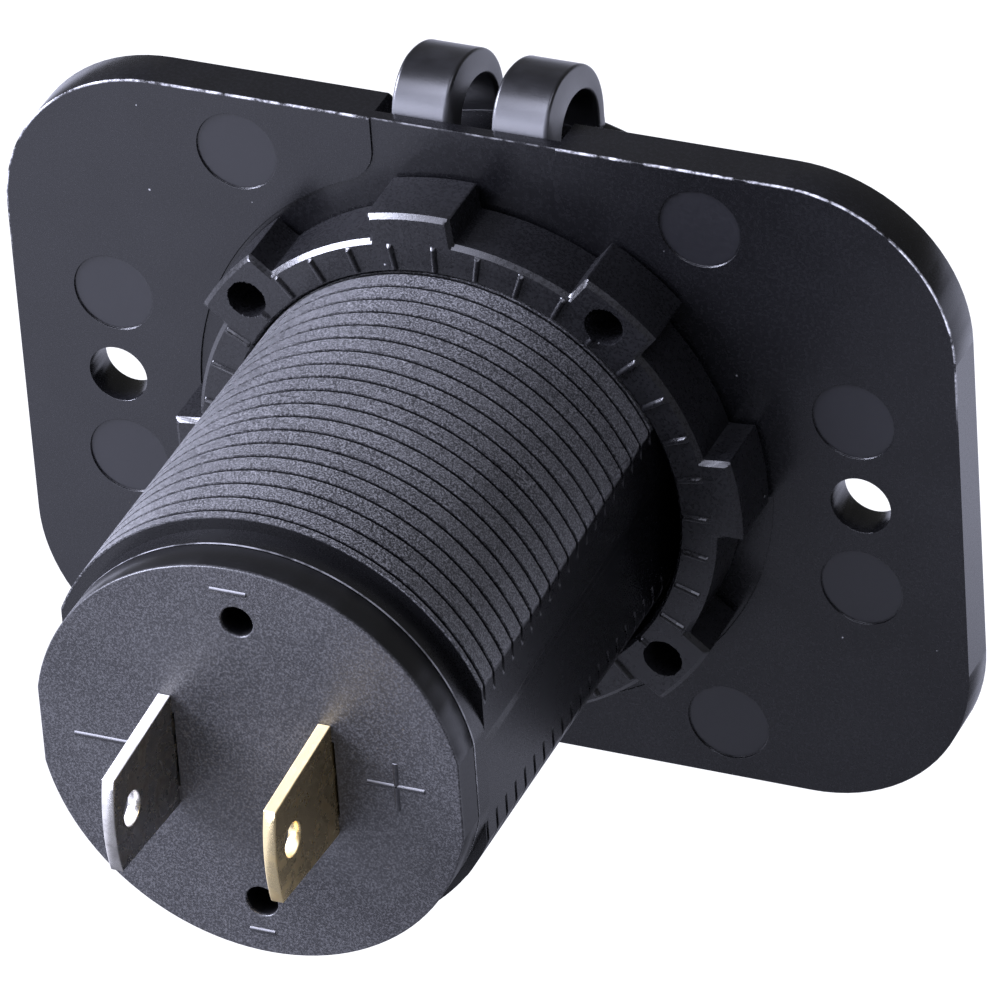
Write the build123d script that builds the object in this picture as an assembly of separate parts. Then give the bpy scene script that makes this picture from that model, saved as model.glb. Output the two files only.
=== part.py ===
"""Panel-mount dual USB power socket for a vehicle, with a moulded plate and a soft dust cap.

Frame: millimetres, +Z up, the socket faces -Y and its threaded barrel runs back along +Y.
The origin is the centre of the plate's back face, on the line between its two screw holes.
"""
from build123d import *
import math
import os

# Threaded barrel of the socket body; every second turn of its thread is drawn, as a ring groove
THREAD_RADIUS = 14.25
THREAD_PITCH = 1.45
THREAD_DEPTH = 0.45
GROOVE_MOUTH = 0.5          # groove width at the crests
GROOVE_COUNT = 8
FLAT_DEPTH = 1.1            # how far each side flat cuts in from the thread crests
BARREL_WALL = 2.25
THREAD_END = 31.2           # last thread, behind the plate's back face
RELIEF_DEPTH = 0.85         # smooth neck behind the last thread
RELIEF_LENGTH = 1.6

# Round flange that frames the ports
FLANGE_DEPTH = 4.5
FLANGE_EDGE = 0.9           # broken front edge
FACE_RECESS = 3.5           # step from the flange front to the insert's seat
FACE_WALL = 4.1             # flange wall round the recess

# Mounting plate
PLATE_THICK = 3.5
PLATE_CORNER = 10.5
PLATE_EDGE = 0.5            # broken front edge
PLATE_RIM = 2.95            # land above and below the keyhole recess
PLATE_LIP = 0.9             # floor left behind the keyhole recess
SCREW_SPACING = 48.2
SCREW_HOLE = 3.8
SCREW_SINK = 1.1            # depth of the countersink
SCREW_LAND = 6.4            # screw centre to the plate's end
KEYHOLE_BLEND = 2.4         # rounded junction of the round recess and its channel
WITNESS_DEPTH = 0.12        # moulding marks on the back
MARK_SIZE = 5.2             # ejector pin mark
MARK_INNER = (14.8, 17.6)   # the four marks above and below the barrel
MARK_OUTER = (23.9, 5.9)    # the four marks beside the screw holes

# Ring nut
NUT_HEIGHT = 4.55
NUT_WALL = 2.3
NUT_CHAMFER = 0.3
NUT_TURN = 84.0             # where the nut stopped: angle of one plain lug
LUG_COUNT = 8
LUG_REACH = 1.65
LUG_WIDTH = 5.4
PIN_HOLE = 2.3              # spanner holes in every second lug
PIN_INSET = 0.25            # hole centre inside the nut's rim
PIN_FLOOR = 0.9             # plastic left under a spanner hole
RIB_COUNT = 36
RIB_WIDTH = 0.32
RIB_RISE = 0.2
RIB_MARGIN = 0.3            # clear of the bore and the rim

# Soft dust cap: ring under the flange, two loop straps, round lid
RING_WIDTH = 3.7
RING_RISE = 0.4             # stands proud of the plate's front until the nut squeezes it
STRAP_WIDTH = 3.55
STRAP_GAP = 2.85            # between the two straps
STRAP_THICK = 2.3           # behind and over the crown
STRAP_THIN = 1.1            # the front leg that runs down to the lid
STRAP_RISE = 2.45           # crown above the plate's top edge
STRAP_SKEW = 1.45           # the inside crown sits this far in front of the outside crown
STRAP_CROWN = 2.95          # outside crown in front of the strap's back face
STRAP_FOOT = 0.3            # straight root of a strap above the ring's web
STRAP_LEG = 0.4             # straight end of a strap above the lid's lug
CHANNEL_SIDE = 0.95         # channel beside the outer edge of each strap
LID_THICK = 1.8
LID_EDGE = 0.6
LID_INSET = 0.4             # lid radius inside the flange
LID_PANEL = 0.35            # shallow panel in the lid's front
LID_BORDER = 3.2
LUG_RISE = 0.3              # lid lug above the lid's top
SKIRT_DEPTH = 1.6
SKIRT_WALL = 1.3
SKIRT_GAP = 0.9             # room for the lid to swing out of the recess
PULL_WIDTH = 9.0
PULL_LENGTH = 3.0
PULL_CORNER = 2.2

# Front insert and USB ports
INSERT_LIP = 1.2
INSERT_DEPTH = 3.9          # spigot behind the lip
PORT_SPREAD = 9.2           # between the two ports' centres
SHELL_WIDTH = 13.2
SHELL_HEIGHT = 5.8
SHELL_WALL = 0.3
SHELL_CORNER = 0.6
SHELL_LENGTH = 14.0
TONGUE_WIDTH = 11.1
TONGUE_THICK = 1.84
TONGUE_GAP = 0.7            # tongue below the shell's roof
TONGUE_SET = 1.4            # tongue tip behind the mouth
TONGUE_BLOCK = 4.0
CONTACT_COUNT = 4
CONTACT_PITCH = 2.3
CONTACT_WIDTH = 1.0
CONTACT_THICK = 0.25
CONTACT_SET = 0.5           # contact tip behind the tongue's tip

# Electronics in the barrel
BOARD_THICK = 1.6
BOARD_GAP = 0.3
PART_EDGE = 0.6             # board edge left outside each part
CAN_RADIUS = 4.0
CAN_LENGTH = 12.0
CAN_ANGLE = -62.0           # where each part stands, from +X towards +Z
SMALL_CAN_RADIUS = 3.15
SMALL_CAN_LENGTH = 9.0
SMALL_CAN_ANGLE = 42.0
CAN_CRIMP = 0.35
COIL_RADIUS = 4.0
COIL_LENGTH = 5.5
COIL_WAIST = 0.6
COIL_FLANGE = 0.9
COIL_ANGLE = 120.0
CHIP_WIDTH = 5.0
CHIP_DEPTH = 4.0
CHIP_HEIGHT = 1.6
CHIP_ANGLE = 230.0
LEAD_RADIUS = 0.8

# Rear cap and its two terminals
CAP_THICK = 2.3
CAP_SPIGOT = 2.6
SPIGOT_WALL = 1.0
CAP_PIN = 2.0
CAP_PIN_EDGE = 3.6          # pin hole centre inside the cap's rim
TAB_SPREAD = 10.0
TAB_LENGTH = 8.0
TAB_BASE = 7.6
TAB_TIP = 6.3
TAB_NOSE = 0.45             # rounded end beyond the tab's corners
TAB_THICK = 0.8
TAB_HOLE = 2.1
TAB_HOLE_OUT = 6.1
TAIL_WIDTH = 5.0
TAIL_LENGTH = 3.0           # tail inside the cap's spigot

# Clearances
FIT = 0.1                   # plug or spigot in its seat
THREAD_FIT = 0.1            # nut bore and plate hole over the thread
SLIP = 0.25                 # soft ring in its recess
SWING_GAP = 0.25            # lid off the flange

# Radii that follow from the barrel
BORE_RADIUS = THREAD_RADIUS - BARREL_WALL
BOARD_RADIUS = BORE_RADIUS - BOARD_GAP
FLAT_HALF = THREAD_RADIUS - FLAT_DEPTH
NECK_RADIUS = THREAD_RADIUS - RELIEF_DEPTH
HOLE_RADIUS = THREAD_RADIUS + THREAD_FIT
NUT_RADIUS = HOLE_RADIUS + NUT_WALL
LUG_RADIUS = NUT_RADIUS + LUG_REACH
RING_RADIUS = HOLE_RADIUS + SLIP + RING_WIDTH
RECESS_RADIUS = RING_RADIUS + SLIP
FLANGE_RADIUS = RING_RADIUS
LID_RADIUS = FLANGE_RADIUS - LID_INSET
FACE_RADIUS = FLANGE_RADIUS - FACE_WALL

# Depths along Y
RING_REAR = -PLATE_LIP
RING_FRONT = -PLATE_THICK - RING_RISE
FLANGE_FRONT = RING_FRONT - FLANGE_DEPTH
SEAT_Y = FLANGE_FRONT + FACE_RECESS
MOUTH_Y = SEAT_Y - INSERT_LIP
BOARD_Y = MOUTH_Y + SHELL_LENGTH
PARTS_Y = BOARD_Y + BOARD_THICK
SEAM_Y = THREAD_END + RELIEF_LENGTH
REAR_Y = SEAM_Y + CAP_THICK
TAIL_Y = SEAM_Y - TAIL_LENGTH
LID_REAR = FLANGE_FRONT - SWING_GAP
LID_FRONT = LID_REAR - LID_THICK

# Plate outline
PLATE_WIDTH = SCREW_SPACING + 2 * SCREW_LAND
PLATE_HEIGHT = 2 * (RECESS_RADIUS + PLATE_RIM)
PLATE_TOP = PLATE_HEIGHT / 2
PAIR_HALF = STRAP_GAP / 2 + STRAP_WIDTH
CHANNEL_WIDTH = 2 * (PAIR_HALF + CHANNEL_SIDE)

# Strap outline in side view, and the line about which the straps bend
STRAP_BACK = RING_REAR - FIT / 2
STRAP_INNER_BACK = STRAP_BACK - STRAP_THICK
STRAP_INNER_FRONT = LID_REAR - FIT / 2
STRAP_FRONT = STRAP_INNER_FRONT - STRAP_THIN
CROWN_Y = STRAP_BACK - STRAP_CROWN
CROWN_Z = PLATE_TOP + STRAP_RISE
INNER_CROWN_Y = CROWN_Y - STRAP_SKEW
INNER_CROWN_Z = CROWN_Z - STRAP_THICK
INNER_REAR_RADIUS = STRAP_INNER_BACK - INNER_CROWN_Y
FOOT_Z = INNER_CROWN_Z - INNER_REAR_RADIUS - STRAP_FOOT
LUG_TOP = LID_RADIUS + LUG_RISE
LEG_Z = LUG_TOP + STRAP_LEG


def slab(profile, y_front, y_rear):
    """Extrude a profile drawn in the front view between two depths."""
    return extrude(Plane.XZ.offset(-y_rear) * profile, amount=y_rear - y_front)


def turned(*points):
    """Revolve a closed outline of (radius, depth) points about the barrel's axis."""
    return revolve(make_face(Polyline(*points, close=True)), axis=Axis.Y)


def barrel_section(radius, flat_half):
    """Round section with the two side flats of the barrel."""
    return Circle(radius) & Rectangle(2 * flat_half, 2 * radius)


def keyhole():
    """Round recess with a channel that runs out at the plate's top edge."""
    reach = PLATE_TOP + PLATE_RIM
    channel = Pos(0, reach / 2) * Rectangle(CHANNEL_WIDTH, reach)
    outline = Circle(RECESS_RADIUS) + channel
    corner = math.sqrt(RECESS_RADIUS**2 - (CHANNEL_WIDTH / 2) ** 2)
    joints = [v for v in outline.vertices() if abs(v.Y - corner) < FIT]
    return fillet(joints, KEYHOLE_BLEND)


def mirrored_places(place):
    """The four places that mirror one another about the two axes of the front view."""
    x, z = place
    return [Pos(sx * x, sz * z) for sx in (1, -1) for sz in (1, -1)]


def mounting_plate():
    """Rounded plate with screw holes, a keyhole recess in front and moulding marks behind."""
    plate = slab(RectangleRounded(PLATE_WIDTH, PLATE_HEIGHT, PLATE_CORNER), -PLATE_THICK, 0)
    plate = chamfer(plate.faces().sort_by(Axis.Y)[0].edges(), PLATE_EDGE)
    plate -= slab(keyhole(), -PLATE_THICK, -PLATE_LIP)
    plate -= slab(keyhole(), -WITNESS_DEPTH, 0)
    plate -= slab(barrel_section(HOLE_RADIUS, FLAT_HALF + THREAD_FIT), -PLATE_THICK, 0)
    marks = [where * Circle(MARK_SIZE / 2) for p in (MARK_INNER, MARK_OUTER) for where in mirrored_places(p)]
    plate -= slab(Sketch() + marks, -WITNESS_DEPTH, 0)
    hole = SCREW_HOLE / 2
    drill = turned(
        (0, 0),
        (hole, 0),
        (hole, SCREW_SINK - PLATE_THICK),
        (hole + SCREW_SINK, -PLATE_THICK),
        (0, -PLATE_THICK),
    )
    for side in (1, -1):
        plate -= Pos(side * SCREW_SPACING / 2, 0, 0) * drill
    return plate


def ring_nut():
    """Lugged nut with spanner holes in every second lug and radial ribs on its rear face."""
    lug = Pos(LUG_RADIUS / 2, 0) * Rectangle(LUG_RADIUS, LUG_WIDTH)
    lugs = PolarLocations(0, LUG_COUNT, start_angle=NUT_TURN) * lug
    outline = (Sketch() + lugs) & Circle(LUG_RADIUS)
    outline = outline + Circle(NUT_RADIUS)
    nut = slab(outline, 0, NUT_HEIGHT)
    nut = chamfer(nut.faces().sort_by(Axis.Y)[-1].edges(), NUT_CHAMFER)
    nut -= slab(Circle(HOLE_RADIUS), 0, NUT_HEIGHT)
    rib_inner = HOLE_RADIUS + RIB_MARGIN
    rib_outer = NUT_RADIUS - NUT_CHAMFER - RIB_MARGIN
    rib = Pos((rib_inner + rib_outer) / 2, 0) * Rectangle(rib_outer - rib_inner, RIB_WIDTH)
    half_step = 180 / RIB_COUNT
    ribs = Sketch() + PolarLocations(0, RIB_COUNT, start_angle=NUT_TURN + half_step) * rib
    nut += slab(ribs, NUT_HEIGHT, NUT_HEIGHT + RIB_RISE)
    pin_turn = NUT_TURN + 360 / LUG_COUNT
    pins = PolarLocations(NUT_RADIUS - PIN_INSET, LUG_COUNT // 2, start_angle=pin_turn) * Circle(PIN_HOLE / 2)
    return nut - slab(Sketch() + pins, PIN_FLOOR, NUT_HEIGHT + RIB_RISE)


def socket_body():
    """One moulding: flange with a recessed face, and the hollow barrel with its two flats."""
    flange = turned(
        (FACE_RADIUS, FLANGE_FRONT),
        (FLANGE_RADIUS - FLANGE_EDGE, FLANGE_FRONT),
        (FLANGE_RADIUS, FLANGE_FRONT + FLANGE_EDGE),
        (FLANGE_RADIUS, RING_FRONT),
        (BORE_RADIUS, RING_FRONT),
        (BORE_RADIUS, SEAT_Y),
        (FACE_RADIUS, SEAT_Y),
    )
    barrel = slab(barrel_section(THREAD_RADIUS, FLAT_HALF), RING_FRONT, THREAD_END)
    barrel += slab(barrel_section(NECK_RADIUS, FLAT_HALF), THREAD_END, SEAM_Y)
    barrel -= slab(Circle(BORE_RADIUS), RING_FRONT, SEAM_Y)
    for turn in range(GROOVE_COUNT):
        barrel -= thread_groove(THREAD_END - (2 * turn + 1) * THREAD_PITCH)
    return flange + barrel


def thread_groove(y):
    """Ring with a V section that cuts one thread groove, its tip at the thread's root."""
    half = GROOVE_MOUTH / 2
    over = FIT / THREAD_DEPTH
    outside = THREAD_RADIUS + FIT
    return turned(
        (THREAD_RADIUS - THREAD_DEPTH, y),
        (outside, y - half * (1 + over)),
        (outside, y + half * (1 + over)),
    )


def front_insert():
    """Face plate that drops into the flange and frames the two ports."""
    insert = slab(Circle(FACE_RADIUS - FIT), MOUTH_Y, SEAT_Y)
    insert += slab(Circle(BORE_RADIUS - FIT), SEAT_Y, SEAT_Y + INSERT_DEPTH)
    window = RectangleRounded(SHELL_WIDTH + 2 * FIT, SHELL_HEIGHT + 2 * FIT, SHELL_CORNER + FIT)
    for side in (1, -1):
        insert -= slab(Pos(0, side * PORT_SPREAD / 2) * window, MOUTH_Y, SEAT_Y + INSERT_DEPTH)
    return insert


def usb_shell(z):
    """Folded metal shell of one port."""
    outer = RectangleRounded(SHELL_WIDTH, SHELL_HEIGHT, SHELL_CORNER)
    inner = RectangleRounded(
        SHELL_WIDTH - 2 * SHELL_WALL, SHELL_HEIGHT - 2 * SHELL_WALL, SHELL_CORNER - SHELL_WALL
    )
    return slab(Pos(0, z) * (outer - inner), MOUTH_Y, BOARD_Y)


def tongue_centre(z):
    """Height of a port's tongue, which hangs under the shell's roof."""
    return z + SHELL_HEIGHT / 2 - SHELL_WALL - TONGUE_GAP - TONGUE_THICK / 2


def usb_tongue(z):
    """Plastic tongue and the block that carries it in the back of the shell."""
    block_width = SHELL_WIDTH - 2 * (SHELL_WALL + FIT)
    block_height = SHELL_HEIGHT - 2 * (SHELL_WALL + FIT)
    block = Pos(0, z) * Rectangle(block_width, block_height)
    blade = Pos(0, tongue_centre(z)) * Rectangle(TONGUE_WIDTH, TONGUE_THICK)
    return slab(block, BOARD_Y - TONGUE_BLOCK, BOARD_Y) + slab(blade, MOUTH_Y + TONGUE_SET, BOARD_Y)


def usb_contacts(z):
    """Four flat contacts along the underside of one tongue."""
    under = tongue_centre(z) - (TONGUE_THICK + CONTACT_THICK) / 2
    strip = Rectangle(CONTACT_WIDTH, CONTACT_THICK)
    strips = GridLocations(CONTACT_PITCH, 1, CONTACT_COUNT, 1) * strip
    tip = MOUTH_Y + TONGUE_SET + CONTACT_SET
    return Compound([slab(Pos(0, under) * s, tip, BOARD_Y - TONGUE_BLOCK) for s in strips])


def port_board():
    """Round circuit board behind the ports."""
    return slab(Circle(BOARD_RADIUS), BOARD_Y, PARTS_Y)


def board_place(angle, radius):
    """Centre of a part that stands at an angle on the board, just inside its edge."""
    out = BOARD_RADIUS - PART_EDGE - radius
    return out * math.cos(math.radians(angle)), out * math.sin(math.radians(angle))


def capacitor(radius, length, angle):
    """Electrolytic can standing on the board, with its crimped groove."""
    groove = PARTS_Y + radius / 2
    can = turned(
        (0, PARTS_Y),
        (radius, PARTS_Y),
        (radius, groove),
        (radius - CAN_CRIMP, groove + CAN_CRIMP),
        (radius, groove + 2 * CAN_CRIMP),
        (radius, PARTS_Y + length - CAN_CRIMP),
        (radius - CAN_CRIMP, PARTS_Y + length),
        (0, PARTS_Y + length),
    )
    x, z = board_place(angle, radius)
    return Pos(x, 0, z) * can


def inductor():
    """Drum coil with a winding waist."""
    waist = COIL_RADIUS - COIL_WAIST
    drum = turned(
        (0, PARTS_Y),
        (COIL_RADIUS, PARTS_Y),
        (COIL_RADIUS, PARTS_Y + COIL_FLANGE),
        (waist, PARTS_Y + COIL_FLANGE),
        (waist, PARTS_Y + COIL_LENGTH - COIL_FLANGE),
        (COIL_RADIUS, PARTS_Y + COIL_LENGTH - COIL_FLANGE),
        (COIL_RADIUS, PARTS_Y + COIL_LENGTH),
        (0, PARTS_Y + COIL_LENGTH),
    )
    x, z = board_place(COIL_ANGLE, COIL_RADIUS)
    return Pos(x, 0, z) * drum


def converter_chip():
    """Step-down converter package on the board."""
    place = board_place(CHIP_ANGLE, math.hypot(CHIP_WIDTH, CHIP_DEPTH) / 2)
    return slab(Pos(*place) * Rectangle(CHIP_WIDTH, CHIP_DEPTH), PARTS_Y, PARTS_Y + CHIP_HEIGHT)


def supply_lead(side):
    """Insulated lead from a terminal's tail forward to the board."""
    return slab(Pos(side * TAB_SPREAD / 2, 0) * Circle(LEAD_RADIUS), PARTS_Y, TAIL_Y)


def rear_cap():
    """Disc that closes the barrel, with a spigot, two terminal slots and two pin holes."""
    spigot = BORE_RADIUS - FIT
    cap = slab(barrel_section(NECK_RADIUS, FLAT_HALF), SEAM_Y, REAR_Y)
    cap += slab(Circle(spigot) - Circle(spigot - SPIGOT_WALL), SEAM_Y - CAP_SPIGOT, SEAM_Y)
    slot = Rectangle(TAB_THICK + FIT, TAIL_WIDTH + FIT)
    for side in (1, -1):
        cap -= slab(Pos(side * TAB_SPREAD / 2, 0) * slot, SEAM_Y, REAR_Y)
        cap -= slab(Pos(0, side * (NECK_RADIUS - CAP_PIN_EDGE)) * Circle(CAP_PIN / 2), SEAM_Y, REAR_Y)
    return cap


def terminal(side):
    """Flat tab that shoulders on the cap, with a tail through its slot and a hole near the tip."""
    tip = REAR_Y + TAB_LENGTH
    base, end, tail = TAB_BASE / 2, TAB_TIP / 2, TAIL_WIDTH / 2
    outline = [
        Polyline(
            (tip, -end),
            (REAR_Y, -base),
            (REAR_Y, -tail),
            (TAIL_Y, -tail),
            (TAIL_Y, tail),
            (REAR_Y, tail),
            (REAR_Y, base),
            (tip, end),
        ),
        ThreePointArc((tip, end), (tip + TAB_NOSE, 0), (tip, -end)),
    ]
    face = make_face(outline) - Pos(REAR_Y + TAB_HOLE_OUT, 0) * Circle(TAB_HOLE / 2)
    return extrude(Plane.YZ.offset(side * TAB_SPREAD / 2) * face, amount=TAB_THICK / 2, both=True)


def strap_spans():
    """The side-to-side span of each strap, as (centre, width)."""
    offset = (STRAP_GAP + STRAP_WIDTH) / 2
    return {"left": -offset, "right": offset}


def cap_ring():
    """Soft ring in the plate's recess, with the web that carries both straps up the channel."""
    bore = HOLE_RADIUS + SLIP
    web_top = FOOT_Z
    web = Pos(0, web_top / 2) * Rectangle(2 * PAIR_HALF, web_top) - Circle(bore)
    ring = slab(Circle(RING_RADIUS) - Circle(bore), RING_FRONT, RING_REAR)
    return ring + slab(web, STRAP_INNER_BACK, STRAP_BACK)


def strap_outline():
    """Side view of a loop strap: thick behind and over the crown, thin down to the lid."""
    rear_radius = STRAP_BACK - CROWN_Y
    outer_reach = CROWN_Y - STRAP_FRONT
    inner_reach = INNER_CROWN_Y - STRAP_INNER_FRONT
    outside = [
        Line((STRAP_BACK, FOOT_Z), (STRAP_BACK, CROWN_Z - rear_radius)),
        CenterArc((CROWN_Y, CROWN_Z - rear_radius), rear_radius, 0, 90),
        EllipticalCenterArc((CROWN_Y, LEG_Z), outer_reach, CROWN_Z - LEG_Z, start_angle=90, arc_size=90),
        Line((STRAP_FRONT, LEG_Z), (STRAP_FRONT, LUG_TOP)),
    ]
    inside = [
        Line((STRAP_FRONT, LUG_TOP), (STRAP_INNER_FRONT, LUG_TOP)),
        Line((STRAP_INNER_FRONT, LUG_TOP), (STRAP_INNER_FRONT, LEG_Z)),
        EllipticalCenterArc((INNER_CROWN_Y, LEG_Z), inner_reach, INNER_CROWN_Z - LEG_Z, start_angle=90, arc_size=90),
        CenterArc((INNER_CROWN_Y, FOOT_Z + STRAP_FOOT), INNER_REAR_RADIUS, 0, 90),
        Line((STRAP_INNER_BACK, FOOT_Z + STRAP_FOOT), (STRAP_INNER_BACK, FOOT_Z)),
        Line((STRAP_INNER_BACK, FOOT_Z), (STRAP_BACK, FOOT_Z)),
    ]
    return make_face(outside + inside)


def cap_strap(centre):
    """One flexible loop from the ring's web over the plate's edge to the lid."""
    side = Plane.YZ.offset(centre) * strap_outline()
    return extrude(side, amount=STRAP_WIDTH / 2, both=True)


def cap_lid():
    """Round lid with a plug skirt, a pull tab below and the lug that takes both straps above."""
    panel = LID_RADIUS - LID_BORDER
    lid = turned(
        (0, LID_FRONT + LID_PANEL),
        (panel, LID_FRONT + LID_PANEL),
        (panel, LID_FRONT),
        (LID_RADIUS - LID_EDGE, LID_FRONT),
        (LID_RADIUS, LID_FRONT + LID_EDGE),
        (LID_RADIUS, LID_REAR),
        (0, LID_REAR),
    )
    pull = RectangleRounded(PULL_WIDTH, 2 * PULL_LENGTH, PULL_CORNER)
    lid += slab(Pos(0, -LID_RADIUS) * pull, LID_FRONT + LID_EDGE, LID_REAR)
    skirt = FACE_RADIUS - SKIRT_GAP
    lid += slab(Circle(skirt) - Circle(skirt - SKIRT_WALL), LID_REAR, LID_REAR + SKIRT_DEPTH)
    lug_height = LUG_TOP - FACE_RADIUS
    lug = Pos(0, LUG_TOP - lug_height / 2) * Rectangle(2 * PAIR_HALF, lug_height)
    return lid + slab(lug, STRAP_FRONT, STRAP_INNER_FRONT)


def assembly():
    """Every piece by node name."""
    pieces = {
        "mounting_plate": mounting_plate(),
        "ring_nut": ring_nut(),
        "socket_body": socket_body(),
        "front_insert": front_insert(),
        "port_board": port_board(),
        "input_capacitor": capacitor(CAN_RADIUS, CAN_LENGTH, CAN_ANGLE),
        "output_capacitor": capacitor(SMALL_CAN_RADIUS, SMALL_CAN_LENGTH, SMALL_CAN_ANGLE),
        "inductor": inductor(),
        "converter_chip": converter_chip(),
        "rear_cap": rear_cap(),
        "cap_ring": cap_ring(),
        "cap_lid": cap_lid(),
    }
    for level, sign in (("upper", 1), ("lower", -1)):
        z = sign * PORT_SPREAD / 2
        pieces[f"usb_shell_{level}"] = usb_shell(z)
        pieces[f"usb_tongue_{level}"] = usb_tongue(z)
        pieces[f"usb_contacts_{level}"] = usb_contacts(z)
    for pole, side in (("negative", 1), ("positive", -1)):
        pieces[f"terminal_{pole}"] = terminal(side)
        pieces[f"lead_{pole}"] = supply_lead(side)
    for name, centre in strap_spans().items():
        pieces[f"cap_strap_{name}"] = cap_strap(centre)
    return pieces


os.makedirs("parts", exist_ok=True)
for node, solid in assembly().items():
    export_step(solid, f"parts/{node}.step")
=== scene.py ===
import logging
import math
from dataclasses import dataclass, field
from enum import Enum
from typing import Any, Sequence

import bmesh
import bpy
import numpy as np
from mathutils import Euler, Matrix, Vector


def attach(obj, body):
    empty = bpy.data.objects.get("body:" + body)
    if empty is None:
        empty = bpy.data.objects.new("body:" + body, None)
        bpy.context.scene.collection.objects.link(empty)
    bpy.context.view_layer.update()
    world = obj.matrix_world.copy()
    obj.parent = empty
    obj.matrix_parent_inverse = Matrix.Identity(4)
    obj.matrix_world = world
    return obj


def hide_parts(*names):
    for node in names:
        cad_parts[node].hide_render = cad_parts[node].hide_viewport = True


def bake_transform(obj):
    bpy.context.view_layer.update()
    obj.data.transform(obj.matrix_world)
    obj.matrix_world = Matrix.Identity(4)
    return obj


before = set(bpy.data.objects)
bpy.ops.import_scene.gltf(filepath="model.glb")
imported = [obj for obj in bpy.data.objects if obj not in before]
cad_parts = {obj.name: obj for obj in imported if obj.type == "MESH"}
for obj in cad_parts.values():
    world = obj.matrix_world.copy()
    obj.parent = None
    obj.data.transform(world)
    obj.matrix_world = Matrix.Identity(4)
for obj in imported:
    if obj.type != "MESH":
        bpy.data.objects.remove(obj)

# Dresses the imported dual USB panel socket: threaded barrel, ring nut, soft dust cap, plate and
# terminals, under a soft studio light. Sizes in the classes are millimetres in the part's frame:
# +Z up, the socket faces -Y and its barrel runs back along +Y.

Array = np.ndarray
Colour = tuple[float, float, float]
Point = tuple[float, float]
Triple = tuple[float, float, float]
MM = 0.001
LOG = logging.getLogger("dual_usb_socket")


class Body(Enum):
    """The rigid bodies of the part."""

    SOCKET = "socket"
    LID = "lid"


class Grain(Enum):
    """Where a moulding carries its eroded grain; the rest of it is smooth and painted dark, which also stands
    for painted shade in the thread's grooves and on the rear cap's recessed side.
    """

    ALL_OVER = "all over"
    CRESTS = "thread crests"
    REAR_FACE = "rear face"


# Shader maths


class Signal:
    """A node's output socket, with operators that add Math nodes."""

    def __init__(self, sheet: "NodeSheet", socket: bpy.types.NodeSocket) -> None:
        """Keep the sheet and the socket."""
        self.sheet = sheet
        self.socket = socket

    def math(self, operation: str, *others: Any, clamp: bool = False) -> "Signal":
        """Add one Math node.

        Args:
            operation: the Math node's operation.
            others: numbers or signals for its further inputs.
            clamp: hold the result between 0 and 1.

        Returns:
            The node's value.
        """
        settings = {"operation": operation, "use_clamp": clamp}
        return self.sheet.make("ShaderNodeMath", settings, dict(enumerate((self, *others))))

    def __add__(self, other: Any) -> "Signal":
        """Sum."""
        return self.math("ADD", other)

    __radd__ = __add__

    def __sub__(self, other: Any) -> "Signal":
        """Difference."""
        return self.math("SUBTRACT", other)

    def __rsub__(self, other: float) -> "Signal":
        """Difference from a number."""
        return (self * -1.0) + other

    def __mul__(self, other: Any) -> "Signal":
        """Product."""
        return self.math("MULTIPLY", other)

    __rmul__ = __mul__

    def __pow__(self, other: float) -> "Signal":
        """Power."""
        return self.math("POWER", other)

    def __abs__(self) -> "Signal":
        """Size without sign."""
        return self.math("ABSOLUTE")

    def most(self, other: Any) -> "Signal":
        """The larger of two values."""
        return self.math("MAXIMUM", other)

    def ramp(self, low: float, high: float, start: float = 0.0, end: float = 1.0) -> "Signal":
        """Smooth step of the value.

        Args:
            low: value where the step starts.
            high: value where it ends.
            start: result at and before low.
            end: result at and after high.

        Returns:
            The eased value.
        """
        settings = {"interpolation_type": "SMOOTHSTEP"}
        return self.sheet.make("ShaderNodeMapRange", settings, {0: self, 1: low, 2: high, 3: start, 4: end})


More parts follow.
